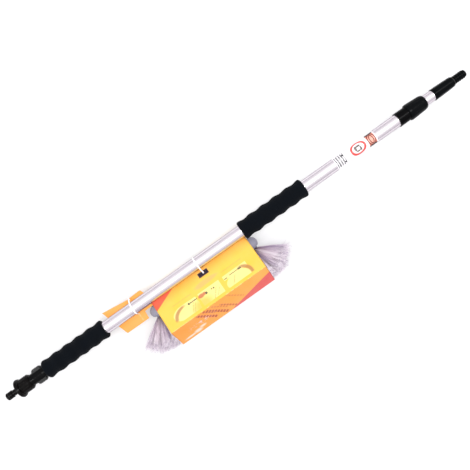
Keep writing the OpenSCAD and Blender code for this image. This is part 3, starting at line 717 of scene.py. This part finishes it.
class WASHPOLE_OT_bristles(bpy.types.Operator):
    """Grow the bristles, fanned at both ends and pressed into shape inside the sleeve"""
    bl_idname = "washpole.bristles"
    bl_label = "Grow the Bristles"

    def fan(self, rng, root_x, row, lean, length, spread):
        """Paths of fibres from the plate, by row across it (-1 to 1), turned along the pole by lean."""
        count = len(row)
        low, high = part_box("bristle_plate")
        middle, reach = (low.z + high.z) / 2, (high.z - low.z) / 2 - 1.7 * MM
        root = np.stack([root_x, np.full(count, low.y + 1 * MM), middle + reach * row], 1)
        rise = np.radians(np.where(row > 0, spread, 0.35 * spread) * row + rng.normal(0, 2.4, count))
        way = np.stack([np.sin(lean), -np.cos(lean) * np.cos(rise), np.cos(lean) * np.sin(rise)], 1)
        bow = rng.normal(0, 2.4 * MM, (count, 1, 3))
        t = np.linspace(0, 1, 8)[None, :, None]
        straight = root[:, None] + way[:, None] * length[:, None, None] * t
        return straight + bow * (t * (1 - t) * 2 + 0.4 * t ** 3)

    def flags(self, rng, paths, each):
        """Short curly split ends on every fibre."""
        tips = np.repeat(paths[:, -1], each, 0)
        way = np.repeat(paths[:, -1] - paths[:, -2], each, 0)
        way /= np.linalg.norm(way, axis=1)[:, None]
        count = len(tips)
        t = np.linspace(0, 1, 4)[None, :, None]
        length = rng.uniform(4, 9, (count, 1, 1)) * MM
        side = rng.normal(0, 1, (count, 1, 3))
        start = tips[:, None] - way[:, None] * 4 * MM
        return start + way[:, None] * length * t + side * length * 0.45 * t * t

    def execute(self, context):
        s = context.scene.washpole_brush
        colours = (tuple(s.root_colour), tuple(s.middle_colour), tuple(s.tip_colour))
        fibre = bristle_fibre("bristle_fibre", *colours)
        half = s.fibre_width / 2
        # Node, piece, seed, fibres, tufts along the plate, side that they fan to, first and last root, splay
        plans = (
            ("bristles_rear_end", "bristle_strands_rear", 5, s.fibres, 11, -1, 336.0, 320.0, 50.0),
            ("bristles_front_end", "bristle_strands_front", 6, s.fibres, 11, 1, 545.5, 556.5, 60.0),
            ("bristles_middle", "bristle_strands_middle", 7, 2000, 28, 0, 332.0, 549.0, 0.0),
        )
        for node, name, seed, count, columns, way, x_in, x_out, splay in plans:
            rng = np.random.default_rng(seed)
            tufts = columns * 7
            tuft = rng.integers(0, tufts, count)
            a = ((tuft % columns + 0.5) / columns + rng.normal(0, 0.22 / columns, count)).clip(0, 1)
            row = (tuft // columns - 3) / 3 + rng.normal(0, 0.06, count)
            root_x = (x_in + (x_out - x_in) * a) * MM
            sway = rng.normal(0, 3.4, tufts)[tuft] + rng.normal(0, 1.9, count)
            lean = np.radians(way * splay * a + sway)
            reach = np.where(np.abs(np.degrees(lean)) > 35, 0.90, 1.0) if way else 1.0
            length = rng.uniform(0.84, 1.0, count) * 71 * MM * reach
            paths = self.fan(rng, root_x, row, lean, length, 25.0)
            near_block = 9 * MM * (paths[..., 1] > -58 * MM)
            if way < 0:
                paths[..., 0] = np.minimum(paths[..., 0], SLEEVE_X[0] - 1.2 * MM + near_block)
            if way > 0:
                paths[..., 0] = np.maximum(paths[..., 0], SLEEVE_X[1] + 1.0 * MM - near_block)
            tone = 0.72 * rng.uniform(0, 1, tufts)[tuft] + 0.28 * rng.uniform(0, 1, count)
            ends = self.flags(rng, paths, 2)
            paths, ends = kept_inside(paths, 1.3 * MM), kept_inside(ends, 1.0 * MM)
            if not way:
                for group in (paths, ends):
                    group[..., 0] = np.clip(group[..., 0], SLEEVE_X[0] + 0.4 * MM, SLEEVE_X[1] - 0.4 * MM)
            body = strands(paths, half * rng.uniform(0.8, 1.1, count), tone)
            tails = strands(ends, half * rng.uniform(0.6, 1.0, len(ends)), rng.uniform(0, 1, len(ends)))
            tail_uv = tails[2] * [0.12, 1] + [0.88, 0]
            shift = len(body[0])
            faces = body[1] + [tuple(i + shift for i in face) for face in tails[1]]
            made = new_piece(name, np.concatenate([body[0], tails[0]]), faces, fibre,
                             uv=np.concatenate([body[2] * [0.95, 1], tail_uv]))
            rides(made, "pole", node)
        return {"FINISHED"}


# ---------------------------------------------------------------- card

class WASHPOLE_OT_sleeve(bpy.types.Operator):
    """Fold the printed board sleeve round the brush head, with its slot, cut-out and print"""
    bl_idname = "washpole.sleeve"
    bl_label = "Fold the Card Sleeve"

    def front_print(self, f, u, v, colour):
        """The front panel: a red corner, a blotch under the slot, two fine rules, three windows, and painted
        shade round the slot.
        """
        corner = f.beyond(u, v, -20.0, -49.0, (-20.0 * 378 - 49.0 * 12) * MM)
        colour = f.laid(colour, f.both(corner, f.rate(v, 60 * MM, 59 * MM)), (0.70, 0.048, 0.012))
        blotch = f.either(f.oval(u, v, 440, 38.5, 26, 5.0, 0.2), f.oval(u, v, 428, 39.5, 14, 4.5, 0.25))
        colour = f.laid(colour, blotch, (0.66, 0.36, 0.10), 0.75)
        rules = f.either(f.panel(u, v, 359, 403, 41.2, 42.6), f.panel(u, v, 474, 520, 41.2, 42.6))
        rules = f.both(rules, f.rate(f.grain(900, 1, at=f.sheet), 0.42, 0.5))
        colour = f.laid(colour, rules, (0.52, 0.33, 0.06))
        windows = f.either(
            f.oval(u, v, 378, 64, 29, 14.5, 0.04), f.panel(u, v, 388, 406, 51, 77),
            f.panel(u, v, 412, 461, 47, 77),
            f.panel(u, v, 470, 524, 47, 60), f.oval(u, v, 497, 72, 27, 15, 0.04),
        )
        windows = f.both(windows, f.rate(v, 50 * MM, 51 * MM), f.rate(v, 77 * MM, 76.4 * MM))
        colour = f.laid(colour, windows, (0.84, 0.67, 0.21))
        tan, rust = (0.34, 0.12, 0.035), (0.42, 0.05, 0.015)
        hill = f.without(f.oval(u, v, 376, 71, 27, 19.5, 0.05), f.oval(u, v, 382, 75, 27, 19.5, 0.05))
        hill = f.both(hill, f.rate(u, 384 * MM, 374 * MM), f.rate(v, 74 * MM, 70 * MM))
        bank = f.without(f.oval(u, v, 505, 72, 25, 21, 0.05), f.oval(u, v, 498, 75, 25, 20.5, 0.05))
        low_edge = f.rate(v, 77 * MM, 76 * MM)
        bank = f.both(bank, f.rate(u, 502 * MM, 514 * MM), low_edge)
        colour = f.laid(colour, f.either(hill, bank), tan, 0.8)
        rods = []
        for c, lean, top in (
                (427.5, 0.55, 57), (435.5, 0.60, 60), (493.5, 0.75, 58), (511.5, 0.9, 62), (538.0, 0.75, 60)):
            rod = f.without(f.beyond(u, v, 1, lean, c * MM), f.beyond(u, v, 1, lean, (c + 2.6) * MM))
            rods.append(f.both(rod, f.rate(v, top * MM, (top + 2) * MM), low_edge))
        rods = f.both(f.either(*rods), windows, f.rate(f.grain(350, 2, at=f.sheet), 0.34, 0.55))
        colour = f.laid(colour, rods, tan, 0.5)
        warm = f.both(windows, f.oval(u, v, 412, 74, 20, 14, 0.4))
        colour = f.laid(colour, warm, (0.76, 0.40, 0.04), 0.75)
        red_spot = f.either(f.oval(u, v, 417, 57, 7, 4.0, 0.2), f.oval(u, v, 424, 56.5, 4, 3.2, 0.3))
        colour = f.laid(colour, red_spot, rust, 0.85)
        marks = f.either(
            f.panel(u, v, 387, 407, 55, 57), f.oval(u, v, 388.5, 56, 2.4, 2.4, 0.1),
            f.oval(u, v, 428.5, 58, 2.6, 2.6, 0.1), f.oval(u, v, 441, 57.4, 1.3, 1.3, 0.1),
            f.oval(u, v, 445.5, 57.8, 1.6, 1.8, 0.1), f.panel(u, v, 471, 478, 56.6, 58.4),
            f.panel(u, v, 484, 508, 55, 56.4), f.panel(u, v, 504, 511, 53.6, 57.4),
        )
        marks = f.both(marks, f.rate(f.grain(700, 1, at=f.sheet), 0.34, 0.40))
        colour = f.laid(colour, marks, (0.03, 0.02, 0.015))
        # Painted shade: a dark border round the slot, standing in for the shade inside it
        slot_painted_shade = f.panel(u, v, 433.0, 455.6, 17.6, 27.6)
        return f.laid(colour, slot_painted_shade, (0.035, 0.018, 0.03))

    def lower_print(self, f, u, v, colour):
        """The lower panel: slanted rows of dots, pale scuffs by the nose and a long red wedge."""
        turn = math.radians(50)
        along = f.sum("MULTIPLY_ADD", u, math.cos(turn), f.sum("MULTIPLY", v, math.sin(turn)))
        across = f.sum("MULTIPLY_ADD", u, -math.sin(turn), f.sum("MULTIPLY", v, math.cos(turn)))
        step = f.sum("WRAP", along, 3.4 * MM, -3.4 * MM)
        rows, beads = [], []
        for u0, v0, length, wide, strength in (
                (386, 86, 50, 9.0, 0.95), (400, 86, 30, 7.0, 0.75), (408, 90, 54, 8.5, 0.85),
                (420, 88, 40, 5.0, 0.40), (435, 98, 46, 7.0, 0.65), (457, 86, 42, 6.0, 0.30)):
            a0 = u0 * math.cos(turn) + v0 * math.sin(turn)
            c0 = -u0 * math.sin(turn) + v0 * math.cos(turn)
            bar = f.panel(along, across, a0, a0 + length, c0 - wide / 2, c0 + wide / 2)
            rows.append(f.sum("MULTIPLY", bar, strength))
            beads.append(f.oval(step, across, 0, c0, 2.6, wide * 0.36, 0.12))
        rows = f.both(f.either(*rows), f.rate(v, 84.5 * MM, 86 * MM), f.rate(v, 134 * MM, 130 * MM))
        colour = f.laid(colour, rows, (0.70, 0.17, 0.06), 0.55)
        colour = f.laid(colour, f.both(rows, f.either(*beads)), (0.34, 0.045, 0.012))
        scuffs = f.either(f.oval(u, v, 352, 128, 13, 2.4, 0.3), f.oval(u, v, 371, 126.5, 9, 4.5, 0.4),
                          f.oval(u, v, 384, 122, 7, 3.0, 0.4))
        colour = f.laid(colour, scuffs, (0.90, 0.72, 0.66), 0.7)
        low_side = f.rate(v, 83.5 * MM, 84 * MM)
        wedge = f.both(f.beyond(u, v, 33.0, 109.0, (33.0 * 443 + 109.0 * 136.5) * MM), low_side)
        return f.laid(colour, wedge, (0.62, 0.065, 0.070))

    def printed(self, s):
        """The print with some painted shade, drawn over u along the pole and v round the sleeve from its fold
        at the pole.
        """
        f = Finish("printed_card")
        u, v, _ = f.split(f.sheet)
        yellow, orange = tuple(s.yellow), tuple(s.orange)
        # Painted shade: by the pole the front panel is painted orange, standing in for the pole's shade on
        # the card, turning yellow from 12 to 34 mm round from the fold
        front = f.mix(f.rate(v, 12 * MM, 34 * MM), (0.78, 0.32, 0.018), yellow)
        near_fold = f.both(f.rate(v, 72 * MM, 83 * MM), f.rate(f.grain(14, 2), 0.35, 0.65))
        front = f.laid(front, near_fold, (0.78, 0.46, 0.035))
        lower = f.laid(orange, f.rate(u, 360 * MM, 530 * MM), (0.78, 0.33, 0.040))
        lower = f.laid(lower, f.rate(v, 100 * MM, 136 * MM, 0.0, 0.5), (0.78, 0.34, 0.085))
        colour = f.mix(f.rate(v, 83.0 * MM, 83.6 * MM), front, lower)
        colour = self.lower_print(f, u, v, self.front_print(f, u, v, colour))
        colour = f.mix(f.rate(v, 181 * MM, 182 * MM), colour, yellow)
        # Pale board shows in patches where the folds are rubbed
        rub = f.rate(f.grain(260, 3), 0.48, 0.60)
        folds = [f.both(f.rate(f.gap(v, x * MM), 0.9 * MM, 0.3 * MM), rub) for x in (83.4, 136.6, 180.8)]
        colour = f.laid(colour, f.either(*folds), (0.94, 0.80, 0.45), 0.5)
        return card_surface(f, colour, (0.80, 0.72, 0.58))

    def section(self, radius):
        """The folded section as a closed ring of [y, z] that meets the slot's edges, and the run along it."""
        path = rounded_loop(FOLDS, radius, 5)
        # Starts just past the fold by the pole
        start = int(np.argmin(np.hypot(path[:, 0] + 1.2 * MM, path[:, 1] + 12.9 * MM)))
        path = refined(np.roll(path, -start, 0), 3 * MM)
        slope = (FOLDS[1, 1] - FOLDS[0, 1]) / (FOLDS[1, 0] - FOLDS[0, 0])
        for y in SLOT[2:]:
            z = FOLDS[0, 1] + slope * (y - FOLDS[0, 0])
            path[int(np.argmin(np.hypot(path[:, 0] - y, path[:, 1] - z)))] = (y, z)
        lengths = np.linalg.norm(np.roll(path, -1, 0) - path, axis=1)
        return np.concatenate([path, path[:1]]), np.concatenate([[0], np.cumsum(lengths)])

    def inward(self, ring):
        """Unit vectors into the sleeve at each point of its ring."""
        tangent = np.roll(ring, -1, 0) - np.roll(ring, 1, 0)
        tangent[0] = tangent[-1] = ring[1] - ring[-2]
        tangent /= np.linalg.norm(tangent, axis=1)[:, None]
        normal = np.stack([-tangent[:, 1], tangent[:, 0]], 1)
        return normal * np.sign(np.sum(normal * (FOLDS.mean(0) - ring), 1))[:, None]

    def faces_out(self, mesh):
        """True if the mesh's normals point away from the sleeve's middle."""
        y, z = FOLDS.mean(0)
        away = [p.normal[1] * (p.center[1] - y) + p.normal[2] * (p.center[2] - z) for p in mesh.polygons]
        return sum(away) > 0

    def execute(self, context):
        s = context.scene.washpole_card
        low, high = SLEEVE_X
        ring, v = self.section(s.fold_radius)
        inward = self.inward(ring)
        # The cut-out in the back for the socket, from x to x and from z to z
        cut_out = (413 * MM, 465 * MM, -60.5 * MM, -13.42 * MM)
        xs = np.unique(np.concatenate([np.linspace(low, high, 76), SLOT[:2], cut_out[:2]]))
        phase = np.random.default_rng(11).uniform(0, 6.28, 2)
        # Where each panel starts and ends round the sleeve, and how far it dips
        panels = np.array([
            [2.0, 82.6, 0.9], [84.2, 135.8, 1.0], [137.4, 180.0, 1.2], [264.0, 312.0, 0.8]]) * MM
        points, uv = [], []
        for x in xs:
            t = (x - low) / (high - low)
            flare = 1 - 0.75 * math.exp(-min(t, 1 - t) * 22)
            sag = np.zeros(len(ring))
            for a, b, dip in panels:
                share = np.clip((v - a) / (b - a), 0, 1)
                wave = 0.62 + 0.38 * math.sin(5.1 * t + phase[0] + 30 * a) * math.cos(2.2 * t + phase[1])
                sag += np.sin(math.pi * share) * dip * wave * flare
            # The board stays flat by the pole, and dips from the slot outwards
            sag *= np.where(v < 60 * MM, np.clip((v - 16 * MM) / (12 * MM), 0, 1), 1)
            row = ring + inward * sag[:, None]
            points += [(x, y, z) for y, z in row]
            uv += [(x, run) for run in v]
        points, uv = np.array(points), np.array(uv)
        faces = []
        for face in grid_faces(len(xs), len(ring)):
            x, y, z = points[list(face)].mean(0)
            in_slot = SLOT[0] < x < SLOT[1] and SLOT[2] < y < SLOT[3] and z > -20 * MM
            in_cut = cut_out[0] < x < cut_out[1] and y > -3.5 * MM and cut_out[2] < z < cut_out[3]
            if not in_slot and not in_cut:
                faces.append(face)
        finish = self.printed(s)
        sleeve = board("card_sleeve_board", points, faces, finish, uv, 0.5 * MM, self.faces_out, True)
        rides(sleeve, "pole", "card_sleeve")
        return {"FINISHED"}


class WASHPOLE_OT_tongue(bpy.types.Operator):
    """Cut the orange card that the rear tie pinches behind the pole"""
    bl_idname = "washpole.tongue"
    bl_label = "Cut the Card Tongue"

    def execute(self, context):
        upper = np.array([
            [237.3, 27], [264, 23.6], [292, 20], [308, 20.8], [322, 21.4], [324.3, 20.6], [328, 11.6]]) * MM
        lower = np.array([
            [237.3, 27], [246, -1.3], [255.4, -31.9], [256.6, -33.6], [306.4, -33.8],
            [307.5, -32.8], [308.6, -19], [309.6, -17.8], [327, -17.8], [328, -16.8]]) * MM
        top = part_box("card_tongue")[1].z
        xs = np.unique(np.concatenate([np.linspace(237.3, 328, 80), [308.6, 307.5, 306.4]])) * MM
        rows = 44
        points, uv = [], []
        for x in xs:
            y1, y0 = np.interp(x, upper[:, 0], upper[:, 1]), np.interp(x, lower[:, 0], lower[:, 1])
            y0 = min(y0, y1 - 0.05 * MM)
            for k in range(rows):
                y = y0 + (y1 - y0) * k / (rows - 1)
                clear = min(1, max(0, (abs(y) - 9 * MM) / (12 * MM)))
                pinch = math.exp(-((x - 296.5 * MM) / (16 * MM)) ** 2)
                ripple = 0.5 + 0.5 * math.sin((x - 0.237) * 95 + (2.0 if y > 0 else 0.6))
                drop = clear * (0.7 + 1.6 * ripple * (1 - 0.7 * pinch)) * MM
                points.append((x, y, top - 0.05 * MM - drop))
                uv.append((x, y))
        f = Finish("orange_card")
        u, v, _ = f.split(f.sheet)
        main = tuple(context.scene.washpole_card.tongue)
        colour = f.mix(f.rate(f.grain(18, 3), 0.3, 0.7, 0, 0.5), main, (0.80, 0.34, 0.042))
        crease = f.rate(f.gap(u, 296.5 * MM), 2.2 * MM, 0.4 * MM)
        colour = f.laid(colour, f.both(crease, f.rate(f.grain(200, 3), 0.4, 0.6)), (0.92, 0.72, 0.45), 0.4)
        stripe = f.both(f.panel(u, v, 258, 304, -31.5, -29.8), f.rate(f.grain(300, 1, at=f.sheet), 0.3, 0.4))
        colour = f.laid(colour, stripe, (0.80, 0.24, 0.03), 0.35)
        card_surface(f, colour, (0.86, 0.66, 0.38))
        tongue = board("card_tongue_board", points, grid_faces(len(xs), rows), f, uv, 0.45 * MM,
                       lambda mesh: mesh.polygons[0].normal[2] >= 0, False)
        rides(tongue, "pole", "card_tongue")
        return {"FINISHED"}


class WASHPOLE_OT_ties(bpy.types.Operator):
    """Wrap the two nylon ties, each with its head and trimmed tail"""
    bl_idname = "washpole.ties"
    bl_label = "Wrap the Ties"

    def strap(self, x, outline, width, thick):
        """A closed band round outline, whose points are [y, z] on its middle line."""
        path = refined(outline, 1.2 * MM)
        tangent = np.roll(path, -1, 0) - np.roll(path, 1, 0)
        tangent /= np.linalg.norm(tangent, axis=1)[:, None]
        out = np.stack([tangent[:, 1], -tangent[:, 0]], 1)
        w, h = width / 2, thick / 2
        section = rounded_loop([[-w, -h], [w, -h], [w, h], [-w, h]], 0.3 * MM, 3)
        run = np.concatenate([[0], np.cumsum(np.linalg.norm(np.diff(path, axis=0), axis=1))])
        points, uv = [], []
        for p, n, length in zip(path, out, run):
            for a, b in section:
                points.append((x + a, p[0] + n[0] * b, p[1] + n[1] * b))
                uv.append((length, a))
        rows, columns = len(path), len(section)
        faces = grid_faces(rows, columns, close=True)
        last = (rows - 1) * columns
        faces += [(last + j, j, (j + 1) % columns, last + (j + 1) % columns) for j in range(columns)]
        return points, faces, uv

    def block(self, centre, size, bevel, offset):
        """A box with rounded corners along its length, as the head or the tail of a tie."""
        cx, cy, cz = centre
        hx, hy, hz = (v / 2 for v in size)
        outline = rounded_loop([[-hy, -hz], [hy, -hz], [hy, hz], [-hy, hz]], bevel, 4)
        points, uv = [], []
        for dx, shrink in ((-hx, 0.82), (-hx + bevel * 0.6, 1.0), (hx - bevel * 0.6, 1.0), (hx, 0.82)):
            for a, b in outline:
                points.append((cx + dx, cy + a * shrink, cz + b * shrink))
                uv.append((0.0, 0.0))
        columns = len(outline)
        faces = grid_faces(4, columns, close=True, offset=offset)
        faces.append(tuple(offset + j for j in range(columns)))
        faces.append(tuple(offset + 3 * columns + j for j in range(columns))[::-1])
        return points, faces, uv

    def execute(self, context):
        finish = nylon("tie_nylon", (0.90, 0.89, 0.90), (0.97, 0.96, 0.97))
        turn = np.linspace(0, 2 * math.pi, 72, endpoint=False)
        thick = 1.0
        # Node, piece, x, the rounds that the strap is drawn over as (y, z, radius), and where its head sits
        plans = (
            ("tie_rear", "tie_rear_strap", 296.5, [(0, 0, 12.65), (20.4, -12.8, 0.6), (-14.3, -12.8, 0.5)],
             (6.3, -15.45)),
            ("tie_front", "tie_front_strap", 445.4, [(0, 0, 12.65), (-21.9, -8.5, 1.2), (0, -13.84, 0.3)],
             (0.0, -16.6)),
        )
        for node, name, x, rounds, head in plans:
            ring = [np.stack([y + (r + thick / 2) * np.cos(turn), z + (r + thick / 2) * np.sin(turn)], 1)
                    for y, z, r in rounds]
            points, faces, uv = self.strap(x * MM, convex(np.concatenate(ring)) * MM, 2.8 * MM, thick * MM)
            cy, cz = head
            for centre, size, bevel in (((x, cy, cz), (4.7, 4.6, 3.3), 0.6),
                                        ((x, cy + 3.6, cz - 0.2), (2.6, 4.4, 0.9), 0.3)):
                p, q, w = self.block(np.array(centre) * MM, np.array(size) * MM, bevel * MM, len(points))
                points, faces, uv = points + p, faces + q, uv + w
            made = new_piece(name, points, faces, finish, uv=uv)
            bevel = made.modifiers.new("soft_edges", "BEVEL")
            bevel.width, bevel.segments, bevel.limit_method = 0.15 * MM, 2, "ANGLE"
            settle(made)
            rides(made, "pole", node)
        return {"FINISHED"}


# ---------------------------------------------------------------- stage

class WASHPOLE_OT_stage(bpy.types.Operator):
    """Set the pale floor, the soft light and the camera"""
    bl_idname = "washpole.stage"
    bl_label = "Set the Stage"

    def execute(self, context):
        s = context.scene.washpole_stage
        scene = context.scene
        scene.view_settings.view_transform = "Standard"
        f = Finish("studio_floor", Specular_IOR_Level=0.1)
        tone = f.grain(3, 3)
        f.to("Base Color", f.laid(tuple(s.floor_colour), tone, (0.53, 0.53, 0.535), 0.3))
        f.to("Roughness", f.rate(tone, 0.3, 0.7, 0.75, 0.85))
        f.to("Emission Color", (1.0, 1.0, 1.0)).to("Emission Strength", 0.33)
        z = FLOOR_Z - 0.1 * MM
        size = 6.0
        corners = [(-size, -size, z), (size, -size, z), (size, size, z), (-size, size, z)]
        floor = new_piece("studio_floor", corners, [(0, 1, 2, 3)], f, smooth=False)

        world = bpy.data.worlds.new("studio_room")
        scene.world = world
        world.use_nodes = True
        tree = world.node_tree
        back = tree.nodes["Background"]
        way = tree.nodes.new("ShaderNodeTexCoord").outputs["Generated"]
        height = tree.nodes.new("ShaderNodeVectorMath")
        height.operation = "DOT_PRODUCT"
        # Brightest overhead, and a little brighter towards +Y than towards -Y
        height.inputs[1].default_value = (0.0, 0.06, 1.0)
        tree.links.new(way, height.inputs[0])
        ramp = tree.nodes.new("ShaderNodeValToRGB")
        ramp.color_ramp.elements[0].color = (0.46, 0.43, 0.48, 1)
        ramp.color_ramp.elements[1].color = (1.0, 1.0, 1.0, 1)
        ramp.color_ramp.elements[1].position = 0.88
        tree.links.new(height.outputs[1], ramp.inputs[0])
        tree.links.new(ramp.outputs[0], back.inputs[0])
        back.inputs[1].default_value = s.sky

        lamp = bpy.data.lights.new("overhead_softbox", "AREA")
        lamp.shape, lamp.size, lamp.size_y, lamp.energy = "RECTANGLE", 2.9, 0.42, s.overhead
        above = bpy.data.objects.new("overhead_softbox", lamp)
        above.location = (0.5376, 0.0, 1.75)
        scene.collection.objects.link(above)

        view = bpy.data.cameras.new("front_view")
        view.lens, view.sensor_width = 45.72, 36.0
        view.clip_start, view.clip_end = 0.01, 50
        camera = bpy.data.objects.new("front_view", view)
        camera.location = (0.5380, 0.0013, 1.152)
        camera.rotation_euler = (0, 0, math.radians(-35.41))
        scene.collection.objects.link(camera)
        scene.camera = camera
        return {"FINISHED"}


class WASHPOLE_PT_panel(bpy.types.Panel):
    """Buttons for each piece and the settings that they use"""
    bl_idname = "WASHPOLE_PT_panel"
    bl_label = "Wash Pole"
    bl_space_type = "VIEW_3D"
    bl_region_type = "UI"
    bl_category = "Wash Pole"

    def draw(self, context):
        for title, settings, operators in GROUPS:
            box = self.layout.box()
            box.label(text=title)
            group = getattr(context.scene, settings)
            for name in group.__annotations__:
                box.prop(group, name)
            for made in operators:
                box.operator(made.bl_idname)


GROUPS = (
    ("Pole", "washpole_pole", (
        WASHPOLE_OT_tubes, WASHPOLE_OT_grips, WASHPOLE_OT_hose_end, WASHPOLE_OT_twist_lock,
        WASHPOLE_OT_tip, WASHPOLE_OT_label)),
    ("Brush head", "washpole_brush", (WASHPOLE_OT_brush_body, WASHPOLE_OT_bristles)),
    ("Card and ties", "washpole_card", (WASHPOLE_OT_sleeve, WASHPOLE_OT_tongue, WASHPOLE_OT_ties)),
    ("Stage", "washpole_stage", (WASHPOLE_OT_stage,)),
)
SETTINGS = (
    ("washpole_pole", PoleSettings), ("washpole_brush", BrushSettings),
    ("washpole_card", CardSettings), ("washpole_stage", StageSettings),
)


def register():
    for name, group in SETTINGS:
        bpy.utils.register_class(group)
        setattr(bpy.types.Scene, name, PointerProperty(type=group))
    for _, _, operators in GROUPS:
        for made in operators:
            bpy.utils.register_class(made)
    bpy.utils.register_class(WASHPOLE_PT_panel)


def unregister():
    bpy.utils.unregister_class(WASHPOLE_PT_panel)
    for _, _, operators in reversed(GROUPS):
        for made in reversed(operators):
            bpy.utils.unregister_class(made)
    for name, group in reversed(SETTINGS):
        delattr(bpy.types.Scene, name)
        bpy.utils.unregister_class(group)


def main():
    register()
    bpy.ops.washpole.stage()
    bpy.ops.washpole.tubes()
    bpy.ops.washpole.grips()
    bpy.ops.washpole.hose_end()
    bpy.ops.washpole.twist_lock()
    bpy.ops.washpole.tip()
    bpy.ops.washpole.label()
    bpy.ops.washpole.brush_body()
    bpy.ops.washpole.bristles()
    bpy.ops.washpole.sleeve()
    bpy.ops.washpole.tongue()
    bpy.ops.washpole.ties()
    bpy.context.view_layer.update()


if __name__ == "__main__":
    main()
